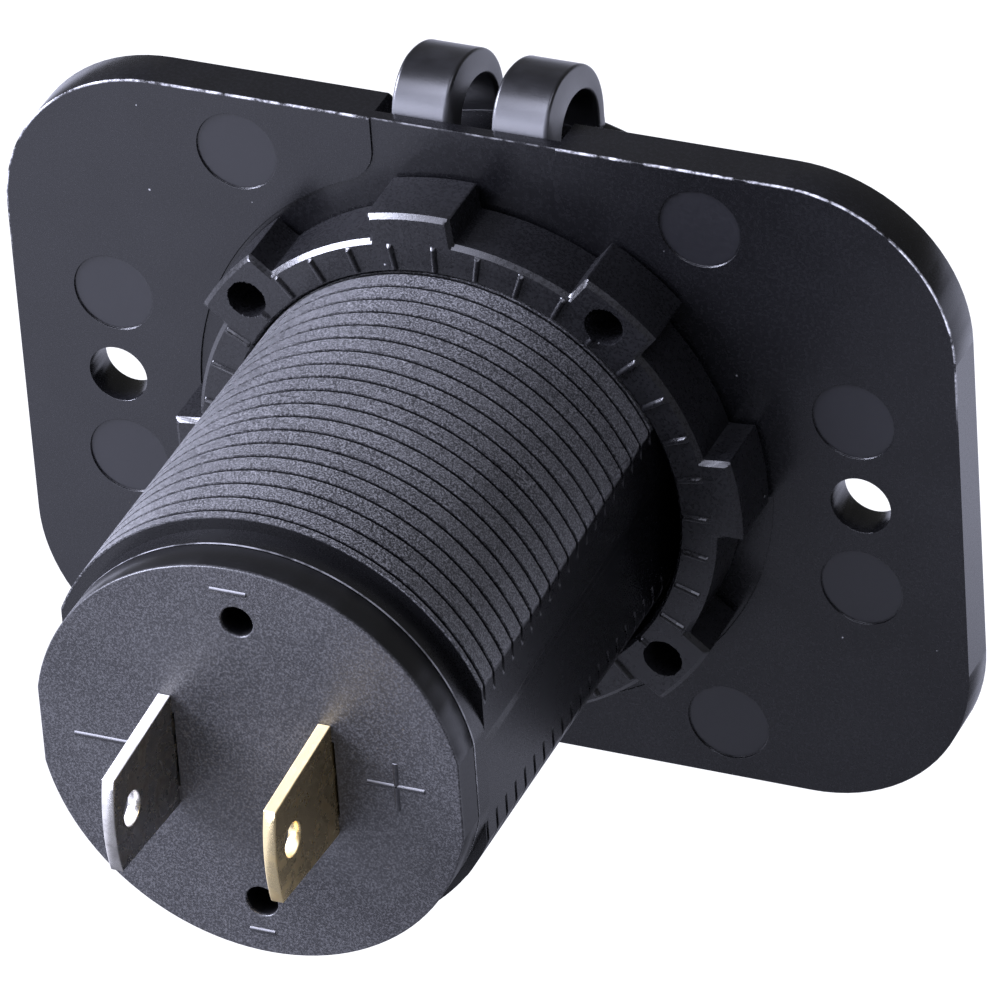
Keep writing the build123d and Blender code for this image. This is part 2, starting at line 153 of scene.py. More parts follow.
class NodeSheet:
    """The node tree of a material or of the world."""

    def __init__(self, owner: bpy.types.Material | bpy.types.World) -> None:
        """Start an empty tree."""
        owner.use_nodes = True
        self.tree = owner.node_tree
        self.tree.nodes.clear()

    def add(
        self, kind: str, settings: dict[str, Any] | None = None, sockets: dict[Any, Any] | None = None
    ) -> bpy.types.Node:
        """Add any node.

        Args:
            kind: the node's type.
            settings: its properties, set first.
            sockets: input name or number to a number, colour or signal.

        Returns:
            The node.
        """
        node = self.tree.nodes.new(kind)
        for name, value in (settings or {}).items():
            setattr(node, name, value)
        for name, value in (sockets or {}).items():
            if isinstance(value, Signal):
                self.tree.links.new(value.socket, node.inputs[name])
            elif isinstance(value, tuple) and len(value) == 3 and node.inputs[name].type == "RGBA":
                node.inputs[name].default_value = (*value, 1.0)
            else:
                node.inputs[name].default_value = value
        return node

    def make(
        self,
        kind: str,
        settings: dict[str, Any] | None = None,
        sockets: dict[Any, Any] | None = None,
        out: Any = 0,
    ) -> Signal:
        """Add a node and take one of its outputs.

        Args:
            kind: the node's type.
            settings: its properties.
            sockets: its inputs.
            out: name or number of the output.

        Returns:
            The chosen output.
        """
        return Signal(self, self.add(kind, settings, sockets).outputs[out])

    def mix(self, share: Any, first: Any, second: Any) -> Signal:
        """Blend two colours by a share.

        Args:
            share: 0 for the first colour, 1 for the second.
            first: colour or signal.
            second: colour or signal.

        Returns:
            The mixed colour.
        """
        return self.make("ShaderNodeMix", {"data_type": "RGBA"}, {0: share, 6: first, 7: second}, out=2)

    def place(self) -> Signal:
        """Object coordinates in millimetres."""
        spot = self.make("ShaderNodeTexCoord", out="Object")
        return self.make("ShaderNodeVectorMath", {"operation": "SCALE"}, {0: spot, "Scale": 1.0 / MM})

    def split(self, vector: Signal) -> tuple[Signal, Signal, Signal]:
        """The three parts of a vector."""
        node = self.add("ShaderNodeSeparateXYZ", sockets={0: vector})
        return tuple(Signal(self, node.outputs[i]) for i in range(3))

    def facing(self) -> tuple[Signal, Signal, Signal]:
        """The three parts of the surface normal."""
        return self.split(self.make("ShaderNodeNewGeometry", out="Normal"))

    def noise(self, where: Signal, scale: float, detail: float = 3.0, rough: float = 0.55) -> Signal:
        """Cloudy noise from 0 to 1.

        Args:
            where: coordinates in millimetres.
            scale: lumps per millimetre.
            detail: octaves.
            rough: strength of the finer octaves.

        Returns:
            The noise value.
        """
        sockets = {"Vector": where, "Scale": scale, "Detail": detail, "Roughness": rough}
        return self.make("ShaderNodeTexNoise", None, sockets, out=0)

    def specks(self, where: Signal, scale: float, size: float) -> Signal:
        """Sparse round specks.

        Args:
            where: coordinates in millimetres.
            scale: cells per millimetre.
            size: speck radius as a share of a cell.

        Returns:
            1 in a speck and 0 outside.
        """
        far = self.make("ShaderNodeTexVoronoi", None, {"Vector": where, "Scale": scale}, out="Distance")
        return far.ramp(size * 0.6, size, 1.0, 0.0)

    def bump(self, height: Signal, depth: float, below: Signal | None = None) -> Signal:
        """Raise a surface by a height.

        Args:
            height: height from 0 to 1.
            depth: millimetres for a height of 1.
            below: normal to build on.

        Returns:
            The bumped normal.
        """
        sockets: dict[Any, Any] = {"Height": height, "Distance": depth * MM, "Strength": 1.0}
        if below is not None:
            sockets["Normal"] = below
        return self.make("ShaderNodeBump", None, sockets)

    def surface(self, **sockets: Any) -> None:
        """Finish with one Principled shader.

        Args:
            sockets: its inputs, with _ for a space.
        """
        named = {name.replace("_", " "): value for name, value in sockets.items()}
        self.output(self.make("ShaderNodeBsdfPrincipled", None, named))

    def output(self, shader: Signal, kind: str = "ShaderNodeOutputMaterial") -> None:
        """Join a shader to the tree's output.

        Args:
            shader: the finished shader.
            kind: the output node's type.
        """
        self.add(kind, None, {"Surface": shader})


# Finishes


@dataclass(frozen=True)
class MouldedPlastic:
    """Black moulded plastic with spark-eroded grain, faint cloudiness and a few dust specks."""

    name: str
    colour: Colour = (0.022, 0.022, 0.024)
    worn: Colour = (0.075, 0.076, 0.08)
    roughness: float = 0.48
    spread: float = 0.12
    grain: float = 5.0
    grain_depth: float = 0.02
    sparkle: float = 0.4
    dust: float = 0.5
    where_grained: Grain = Grain.ALL_OVER
    pitted: Point = (0.35, 0.72)
    seam: float | None = None
    # Colour off the grain: smooth plastic, painted darker to stand for shade in the thread's grooves and on
    # the rear cap's side.
    smooth: Colour = (0.002, 0.002, 0.0024)
    painted_edge_highlight: bool = False
    painted_top_highlight: bool = False
    marks: tuple[Point, ...] = ()
    dust_colour: Colour = (0.45, 0.45, 0.46)
    edge_highlight_colour: Colour = (0.75, 0.75, 0.77)
    seam_highlight_colour: Colour = (0.26, 0.26, 0.27)
    top_highlight_colour: Colour = (0.15, 0.15, 0.155)
    crest_radius: Point = (14.08, 14.2)
    rear_depth: Point = (34.8, 35.05)
    plate_half: Point = (30.5, 21.5)
    plate_corner: float = 10.5
    mark_edge: Point = (2.4, 2.6)

    def material(self) -> bpy.types.Material:
        """Build the material.

        Returns:
            The finished material.
        """
        made = bpy.data.materials.new(self.name)
        sheet = NodeSheet(made)
        where = sheet.place()
        cloud = sheet.noise(where, 0.16, 4.0)
        fine = sheet.noise(where, self.grain, 2.0, 0.7)
        pits = fine.ramp(*self.pitted)
        colour = sheet.mix(pits * self.sparkle + cloud * 0.25 - 0.1, self.colour, self.worn)
        specks = sheet.specks(where, 0.33, 0.028) * self.dust
        colour = sheet.mix(specks, colour, self.dust_colour)
        rough = (cloud + pits) * self.spread + (self.roughness - self.spread)
        for place in self.marks:
            disc = self.ejector_mark(sheet, where, place)
            colour = sheet.mix(disc * 0.3, colour, self.worn)
            rough = rough + disc * 0.05
        # Painted highlight: a broken near-white line along the plate's upper back edge.
        if self.painted_edge_highlight:
            edge = self.upper_edge_highlight(sheet, where)
            colour = sheet.mix(edge, colour, self.edge_highlight_colour)
            rough = rough + edge * 0.1
        height = fine
        if self.where_grained is not Grain.ALL_OVER:
            # Off the grain the colour drops to near black: painted shade in the thread's grooves and on the
            # rear cap's side.
            grained = self.zone(sheet, where)
            colour = sheet.mix(grained, self.smooth, colour)
            height = fine * (grained * 0.85 + 0.15)
            rough = rough * (grained * 0.25 + 0.75)
        # Painted highlight: faces turned upwards take a lighter colour.
        if self.painted_top_highlight:
            colour = sheet.mix(sheet.facing()[2].ramp(0.15, 0.7), colour, self.top_highlight_colour)
        # Painted highlight: a thin pale line where the barrel meets the rear cap.
        if self.seam is not None:
            line = self.seam_highlight(sheet, where, self.seam)
            colour = sheet.mix(line, colour, self.seam_highlight_colour)
        normal = sheet.bump(height, self.grain_depth)
        sheet.surface(Base_Color=colour, Roughness=rough, Normal=normal, IOR=1.5)
        return made

    def ejector_mark(self, sheet: NodeSheet, where: Signal, place: Point) -> Signal:
        """Duller discs where ejector pins pressed, mirrored about both axes.

        Args:
            sheet: the material's sheet.
            where: coordinates in millimetres.
            place: (x, z) of the disc in the first quarter.

        Returns:
            1 on a disc and 0 elsewhere.
        """
        x, y, z = sheet.split(where)
        over_x, over_z = abs(x) - place[0], abs(z) - place[1]
        far = (over_x * over_x + over_z * over_z) ** 0.5
        return far.ramp(*self.mark_edge, 1.0, 0.0) * y.ramp(-0.6, -0.4)

    def seam_highlight(self, sheet: NodeSheet, where: Signal, y_seam: float) -> Signal:
        """A thin painted highlight round the barrel at its joint with the rear cap, stronger in some places.

        Args:
            sheet: the material's sheet.
            where: coordinates in millimetres.
            y_seam: its place along the barrel.

        Returns:
            Strength of the line.
        """
        y = sheet.split(where)[1]
        broken = sheet.noise(where, 0.5, 4.0, 0.7).ramp(0.35, 0.65, 0.1, 0.8)
        return abs(y - y_seam).ramp(0.04, 0.09, 1.0, 0.0) * broken

    def zone(self, sheet: NodeSheet, where: Signal) -> Signal:
        """Where the grain is: the barrel outside a radius, or all behind a plane. The rest is painted dark,
        as shade.

        Args:
            sheet: the material's sheet.
            where: coordinates in millimetres.

        Returns:
            1 on the grained surface and 0 elsewhere.
        """
        x, y, z = sheet.split(where)
        if self.where_grained is Grain.CRESTS:
            return ((x * x + z * z) ** 0.5).ramp(*self.crest_radius) * y.ramp(1.0, 2.0)
        return y.ramp(*self.rear_depth)

    def upper_edge_highlight(self, sheet: NodeSheet, where: Signal) -> Signal:
        """A broken painted highlight, near white, along the plate's upper back edge.

        The plate's outline is a rounded rectangle. A point's distance to it is the length of
        the part of (|x| - a, |z| - b) above zero, less the corner radius.

        Args:
            sheet: the material's sheet.
            where: coordinates in millimetres.

        Returns:
            1 on a scuff and 0 elsewhere.
        """
        x, y, z = sheet.split(where)
        corner = self.plate_corner
        over_x = (abs(x) - (self.plate_half[0] - corner)).most(0.0)
        over_z = (z - (self.plate_half[1] - corner)).most(0.0)
        away = ((over_x * over_x + over_z * over_z) ** 0.5) - corner
        near = abs(away).ramp(0.04, 0.14, 1.0, 0.0)
        back = y.ramp(-0.16, -0.06)
        breaks = sheet.noise(where, 0.6, 5.0, 0.75).ramp(0.4, 0.64, 0.0, 0.7)
        upper = z.ramp(6.0, 14.0)
        return near * back * breaks * upper


@dataclass(frozen=True)
class SoftPlastic:
    """Satin soft plastic of the dust cap: smooth, slightly cloudy, with a painted sheen, a paler colour, on
    the upper rear faces of its straps.
    """

    name: str
    colour: Colour = (0.004, 0.004, 0.0045)
    worn: Colour = (0.016, 0.016, 0.018)
    painted_sheen: Colour = (0.085, 0.086, 0.09)
    roughness: float = 0.33

    def material(self) -> bpy.types.Material:
        """Build the material.

        Returns:
            The finished material.
        """
        made = bpy.data.materials.new(self.name)
        sheet = NodeSheet(made)
        where = sheet.place()
        cloud = sheet.noise(where, 0.3, 5.0, 0.6)
        fine = sheet.noise(where, 9.0, 2.0, 0.6)
        colour = sheet.mix(cloud.ramp(0.45, 0.8) * 0.5, self.colour, self.worn)
        _, y, z = sheet.split(where)
        # Painted sheen: the straps' upper rear faces take a paler colour that stands for a highlight.
        sheen_mask = y.ramp(-2.3, -1.1) * z.ramp(19.3, 20.0) * (cloud * 0.5 + 0.65)
        colour = sheet.mix(sheen_mask, colour, self.painted_sheen)
        rough = cloud * 0.2 + fine * 0.06 + (self.roughness - 0.13)
        normal = sheet.bump(fine, 0.006)
        sheet.surface(Base_Color=colour, Roughness=rough, Normal=normal, IOR=1.5)
        return made


@dataclass(frozen=True)
class RolledMetal:
    """Stamped sheet metal with rolling lines, tarnish and rubbed edges."""

    name: str
    colour: Colour
    tarnish: Colour
    roughness: float = 0.28
    stretch: Triple = (1.0, 0.12, 1.0)
    sheared: bool = False

    def material(self) -> bpy.types.Material:
        """Build the material.

        Returns:
            The finished material.
        """
        made = bpy.data.materials.new(self.name)
        sheet = NodeSheet(made)
        where = sheet.place()
        drawn = sheet.make("ShaderNodeVectorMath", {"operation": "MULTIPLY"}, {0: where, 1: self.stretch})
        lines = sheet.noise(drawn, 6.0, 4.0, 0.65)
        cloud = sheet.noise(where, 0.7, 4.0, 0.6)
        stain = cloud.ramp(0.45, 0.75)
        colour = sheet.mix(stain * 0.6 + lines * 0.2, self.colour, self.tarnish)
        rough = stain * 0.16 + lines * 0.14 + (self.roughness - 0.1)
        if self.sheared:
            _, along, up = sheet.facing()
            cut = abs(up).ramp(0.5, 0.9)
            ends = abs(along).ramp(0.5, 0.9)
            face = 1.0 - cut.most(ends)
            colour = sheet.mix(face * 0.55, sheet.mix(cut * 0.8, colour, self.colour), self.tarnish)
            rough = rough + cut * 0.32
        normal = sheet.bump(lines, 0.006)
        sheet.surface(Base_Color=colour, Roughness=rough, Normal=normal, Metallic=1.0)
        return made


@dataclass(frozen=True)
class PlainPart:
    """Small moulded, coated or cast part inside the socket, with a fine mottled skin."""

    name: str
    colour: Colour
    shade: Colour
    roughness: float = 0.5
    metallic: float = 0.0

    def material(self) -> bpy.types.Material:
        """Build the material.

        Returns:
            The finished material.
        """
        made = bpy.data.materials.new(self.name)
        sheet = NodeSheet(made)
        where = sheet.place()
        cloud = sheet.noise(where, 0.9, 4.0, 0.6)
        fine = sheet.noise(where, 7.0, 2.0, 0.6)
        colour = sheet.mix(cloud * 0.8, self.colour, self.shade)
        rough = cloud * 0.15 + (self.roughness - 0.07)
        normal = sheet.bump(fine, 0.008)
        sheet.surface(Base_Color=colour, Roughness=rough, Normal=normal, Metallic=self.metallic)
        return made


# Meshes from grids


class Shell:
    """Collects grids of points into one closed mesh."""

    def __init__(self, name: str) -> None:
        """Start an empty shell."""
        self.name = name
        self.points: list[Array] = []
        self.quads: list[Array] = []
        self.count = 0

    def add(self, grid: Array, wrap: bool = True, loop: bool = False, step: int = 0) -> None:
        """Add one grid.

        Args:
            grid: points in millimetres, rows by columns by 3.
            wrap: join the last column to the first.
            loop: join the last row to the first.
            step: rows by which a wrapped seam climbs, for a helix.
        """
        rows, columns = grid.shape[:2]
        index = np.arange(rows * columns).reshape(rows, columns)
        if wrap:
            seam = np.clip(np.arange(rows) + step, 0, rows - 1)
            index = np.concatenate([index, index[seam, :1]], axis=1)
        if loop:
            index = np.concatenate([index, index[:1]], axis=0)
        corners = (index[:-1, :-1], index[:-1, 1:], index[1:, 1:], index[1:, :-1])
        self.quads.append(np.stack(corners, axis=-1).reshape(-1, 4) + self.count)
        self.points.append(grid.reshape(-1, 3))
        self.count += rows * columns

    def build(self, material: bpy.types.Material, slot: str | None, sharp: float = 30.0) -> bpy.types.Object:
        """Make the object.

        Args:
            material: its finish.
            slot: the record's material slot, or None for the stage; not used.
            sharp: angle in degrees past which an edge is sharp.

        Returns:
            The object, at the origin.
        """
        points = np.concatenate(self.points) * MM
        quads = np.concatenate(self.quads)
        mesh = bpy.data.meshes.new(self.name)
        mesh.vertices.add(len(points))
        mesh.vertices.foreach_set("co", points.astype(np.float32).ravel())
        mesh.loops.add(quads.size)
        mesh.loops.foreach_set("vertex_index", quads.astype(np.int32).ravel())
        mesh.polygons.add(len(quads))
        mesh.polygons.foreach_set("loop_start", np.arange(0, quads.size, 4, dtype=np.int32))
        mesh.update(calc_edges=True)
        work = bmesh.new()
        work.from_mesh(mesh)
        bmesh.ops.remove_doubles(work, verts=work.verts, dist=2e-7)
        bmesh.ops.dissolve_degenerate(work, edges=work.edges, dist=1e-7)
        bmesh.ops.recalc_face_normals(work, faces=work.faces)
        work.to_mesh(mesh)
        work.free()
        mesh.polygons.foreach_set("use_smooth", np.ones(len(mesh.polygons), dtype=bool))
        mesh.set_sharp_from_angle(angle=math.radians(sharp))
        mesh.materials.append(material)
        made = bpy.data.objects.new(self.name, mesh)
        bpy.context.scene.collection.objects.link(made)
        LOG.info("%s: %d faces", self.name, len(mesh.polygons))
        return made


def turn_grid(radii: Array, depths: Array, angles: Array) -> Array:
    """Surface of revolution about the barrel's axis.

    The point at (i, j) is (r_i cos a_j, y_i, r_i sin a_j).

    Args:
        radii: profile radii, one per row, or rows by columns.
        depths: profile depths along Y, the same shape as radii.
        angles: one angle per column, in radians.

    Returns:
        The grid of points.
    """
    radii = np.broadcast_to(np.reshape(radii, (len(radii), -1)), (len(radii), len(angles)))
    depths = np.broadcast_to(np.reshape(depths, (len(depths), -1)), (len(depths), len(angles)))
    return np.stack([radii * np.cos(angles), depths, radii * np.sin(angles)], axis=-1)


def even_angles(count: int) -> Array:
    """Evenly spaced angles round a full turn."""
    return np.linspace(0.0, 2.0 * math.pi, count, endpoint=False)


def corner_arc(centre: Point, radius: float, start: float, end: float, count: int = 7) -> Array:
    """Points on a circular arc in a profile.

    Args:
        centre: the arc's centre.
        radius: its radius.
        start: first angle in degrees.
        end: last angle in degrees.
        count: number of points.

    Returns:
        Count by 2 array.
    """
    angles = np.radians(np.linspace(start, end, count))
    return np.stack([centre[0] + radius * np.cos(angles), centre[1] + radius * np.sin(angles)], axis=-1)


def rounded_outline(width: float, height: float, corner: float, count: int = 10) -> tuple[Array, Array]:
    """Rounded rectangle, anticlockwise, and its outward normals.

    Each corner is a quarter arc; the normal at an arc point is the arc's own radius.

    Args:
        width: full width.
        height: full height.
        corner: corner radius.
        count: points per corner.

    Returns:
        Points and normals, each 4 * count by 2.
    """
    quarter = np.linspace(0.0, math.pi / 2, count)
    angles = (quarter[None, :] + np.arange(4)[:, None] * math.pi / 2).ravel()
    normals = np.stack([np.cos(angles), np.sin(angles)], axis=-1)
    signs = np.repeat(np.array([[1, 1], [-1, 1], [-1, -1], [1, -1]]), count, axis=0)
    centres = signs * np.array([width / 2 - corner, height / 2 - corner])
    return centres + normals * corner, normals


def pillow_slab(centre: Point, size: Point, corner: float, depth: Point, edge: float) -> Array:
    """Closed rounded slab in the front view.

    Rows run from the middle of the front face, round the edge and back to the middle of the rear
    face. Each row is the outline moved in along its normals.

    Args:
        centre: (x, z) of its centre.
        size: (width, height).
        corner: outline corner radius.
        depth: front and rear y.
        edge: edge round radius.

    Returns:
        The grid of points.
    """
    outline, normals = rounded_outline(size[0], size[1], corner)
    front = corner_arc((edge, depth[0] + edge), edge, 270.0, 180.0)
    rear = corner_arc((edge, depth[1] - edge), edge, 180.0, 90.0)
    profile = np.concatenate([front, rear])
    flat = outline[None] - normals[None] * profile[:, 0][:, None, None]
    middle = np.zeros_like(flat[:1])
    flat = np.concatenate([middle, flat, middle])
    depths = np.concatenate([depth[:1], profile[:, 1], depth[1:]])
    x = flat[..., 0] + centre[0]
    z = flat[..., 1] + centre[1]
    return np.stack([x, np.broadcast_to(depths[:, None], x.shape), z], axis=-1)


# Sub-assemblies


@dataclass
class SocketMoulding:
    """The socket body: flange, hollow barrel, fine thread and two side flats."""

    finish: MouldedPlastic
    crest: float = 14.25
    root_depth: float = 0.48
    pitch: float = 1.45
    groove: Point = (0.07, 0.11)
    thread_start: float = -3.9
    thread_end: float = 31.2
    flat_half: float = 13.15
    flat_draft: float = 0.35
    neck: float = 13.4
    seam: float = 32.8
    bore: float = 12.0
    flange: float = 18.3
    flange_front: float = -8.4
    flange_edge: float = 1.1
    face: float = 14.2
    seat: float = -4.9
    rows_per_turn: tuple[float, ...] = (0.0, 0.2, 0.35, 0.39, 0.43, 0.5, 0.57, 0.61, 0.65, 0.8)
    parting: Triple = (1.4, 0.38, 0.16)
    parting_span: Point = (8.0, 26.5)
    mismatch: float = 0.4

    def angles(self) -> Array:
        """Column angles, closer together along the four edges of the flats."""
        base = np.degrees(even_angles(240))
        near = np.linspace(16.5, 24.0, 20)
        line = np.linspace(2.0, 10.0, 17)
        edges = np.concatenate([near, 180.0 - near, 180.0 + near, 360.0 - near, 180.0 - line, 360.0 - line])
        return np.radians(np.unique(np.round(np.concatenate([base, edges]), 3)))

    def thread_grid(self) -> Array:
        """Helical thread.

        Rows follow the helix: y = t + pitch * angle / turn, held between the thread's ends.
        The radius is the crest less a narrow groove of the phase, held under the flats,
        flat / |cos angle|. Each flat has a shallow parting groove, a bell curve across z, and the
        lower mould half is set in a little on the -X side.

        Returns:
            The grid of points.
        """
        angles = self.angles()
        turn = angles / (2.0 * math.pi)
        turns = int(math.ceil((self.thread_end - self.thread_start) / self.pitch)) + 1
        steps = (np.arange(-1, turns)[:, None] + np.array(self.rows_per_turn)[None, :]).ravel()
        t = self.thread_start + steps * self.pitch
        y = np.clip(t[:, None] + self.pitch * turn[None, :], self.thread_start, self.thread_end)
        phase = ((y - self.thread_start) / self.pitch - turn[None, :]) % 1.0
        floor, top = self.groove
        cut = np.clip((top - np.abs(phase - 0.5)) / (top - floor), 0.0, 1.0)
        radius = self.crest - self.root_depth * cut
        flat = self.flat_half - self.flat_draft * (self.thread_end - y) / self.thread_end
        radius = np.minimum(radius, flat / np.maximum(np.abs(np.cos(angles)), 1e-6)[None, :])
        grid = turn_grid(radius, y, angles)
        place, half, depth = self.parting
        side = np.sign(grid[..., 0])
        across = np.exp(-(((grid[..., 2] * -side - place) / half) ** 2))
        start, end = self.parting_span
        along = np.clip((y - start) / 1.5, 0.0, 1.0) * np.clip((end - y) / 2.5, 0.0, 1.0)
        grid[..., 0] -= side * depth * across * along * (np.abs(grid[..., 0]) > 12.5)
        under = np.clip((place + 0.5 - grid[..., 2]) / 1.2, 0.0, 1.0) * (side < 0)
        grid[..., 0] *= 1.0 - self.mismatch / self.crest * under
        return grid

    def shell_grid(self, last: Array) -> Array:
        """The rest of the moulding, from the thread's end round the bore and flange and back.

        Args:
            last: the thread's end row and start row, 2 by columns by 3.

        Returns:
            The grid of points, whose first and last rows meet the thread.
        """
        angles = self.angles()
        cap = self.flat_half / np.maximum(np.abs(np.cos(angles)), 1e-6)
        edge = self.flange_edge
        neck_profile = np.array([(self.neck, self.thread_end), (self.neck, self.seam)])
        rim = corner_arc((self.flange - edge, self.flange_front + edge), edge, 270.0, 360.0)
        inner = np.array(
            [
                (self.bore, self.seam),
                (self.bore, self.seat),
                (self.face, self.seat),
                (self.face, self.flange_front + 0.25),
                (self.face + 0.25, self.flange_front),
            ]
        )
        outer = np.concatenate([rim, [(self.flange, self.thread_start)]])
        neck = turn_grid(np.minimum(neck_profile[:, :1], cap[None]), neck_profile[:, 1], angles)
        rest_profile = np.concatenate([inner, outer])
        rest = turn_grid(rest_profile[:, 0], rest_profile[:, 1], angles)
        return np.concatenate([last[:1], neck, rest, last[1:]])

    def build(self) -> bpy.types.Object:
        """Make the moulding.

        Returns:
            The piece that stands for the CAD socket body.
        """
        shell = Shell("socket_body_moulded")
        thread = self.thread_grid()
        step = len(self.rows_per_turn)
        shell.add(thread, wrap=True, step=step)
        shell.add(self.shell_grid(np.stack([thread[-1], thread[0]])), wrap=True)
        made = shell.build(self.finish.material(), "black_plastic", sharp=18.0)
        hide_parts("socket_body")
        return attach(made, Body.SOCKET.value)


@dataclass
class RingNut:
    """Lugged nut with spanner holes in every second lug and radial ribs on its rear face."""

    finish: MouldedPlastic
    bore: float = 14.35
    rim: float = 16.65
    lug: float = 18.3
    lug_half: float = 2.7
    height: float = 4.55
    chamfer: float = 0.28
    turn: float = 84.0
    lugs: int = 8
    hole: float = 1.15
    hole_circle: float = 16.4
    hole_depth: float = 3.4
    ribs: int = 36
    rib_half: float = 0.19
    rib_rise: float = 0.22
    rib_span: Point = (14.6, 16.3)
    columns: int = 1440

    def outline(self, inset: Array, angles: Array) -> Array:
        """Lobed outline in polar form.

        At an angle d from the nearest lug's middle, the lug's straight side lies at radius
        half width / |sin d|, held between the rim and the lug's end; an inset narrows all three.

        Args:
            inset: one inset per row.
            angles: column angles in radians.

        Returns:
            Radii, rows by columns.
        """
        period = 2.0 * math.pi / self.lugs
        off = (angles - math.radians(self.turn) + period / 2) % period - period / 2
        side = (self.lug_half - inset[:, None]) / np.maximum(np.abs(np.sin(off))[None, :], 1e-6)
        return np.clip(side, self.rim - inset[:, None], self.lug - inset[:, None])

    def relief(self, x: Array, z: Array) -> Array:
        """Height of the rear face: ribs stand up and spanner holes go down.

        Args:
            x: points' x.
            z: points' z.

        Returns:
            Height above the plain face.
        """
        radius = np.hypot(x, z)
        angle = np.arctan2(z, x)
        step = 2.0 * math.pi / self.ribs
        off = (angle - math.radians(self.turn)) % step - step / 2
        across = np.abs(off) * radius
        low, high = self.rib_span
        inside = np.clip((radius - low) / 0.08, 0, 1) * np.clip((high - radius) / 0.08, 0, 1)
        rib = self.rib_rise * inside * np.sqrt(np.clip(1.0 - (across / self.rib_half) ** 2, 0, 1))
        pins = math.radians(self.turn) + (2 * np.arange(self.lugs // 2) + 1) * 2 * math.pi / self.lugs
        far = np.hypot(
            x[..., None] - self.hole_circle * np.cos(pins), z[..., None] - self.hole_circle * np.sin(pins)
        ).min(axis=-1)
        pit = np.clip((self.hole + 0.05 - far) / 0.1, 0, 1)
        return np.where(pit > 0, rib * (1 - pit) - self.hole_depth * pit, rib)

    def build(self) -> bpy.types.Object:
        """Make the nut.

        Returns:
            The piece that stands for the CAD nut.
        """
        angles = even_angles(self.columns)
        c = self.chamfer
        top = self.height
        foot = [(0.15, 0.0), (0.0, 0.15)]
        wall = np.array([*foot, (0.0, top - c), (c * 0.5, top - c * 0.5), (c, top)])
        radii = self.outline(wall[:, 0], angles)
        outer = turn_grid(radii, wall[:, 1], angles)
        share = np.linspace(0.0, 1.0, 44)[1:, None]
        face_radii = radii[-1][None] * (1 - share) + (self.bore + 0.2) * share
        face = turn_grid(face_radii, np.full(len(share), self.height), angles)
        face[..., 1] += self.relief(face[..., 0], face[..., 2])
        bore = turn_grid(np.array([self.bore, self.bore]), np.array([self.height - 0.2, 0.0]), angles)
        shell = Shell("ring_nut_moulded")
        shell.add(np.concatenate([outer, face, bore]), wrap=True, loop=True)
        made = shell.build(self.finish.material(), "nut_plastic", sharp=28.0)
        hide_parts("ring_nut")
        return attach(made, Body.SOCKET.value)


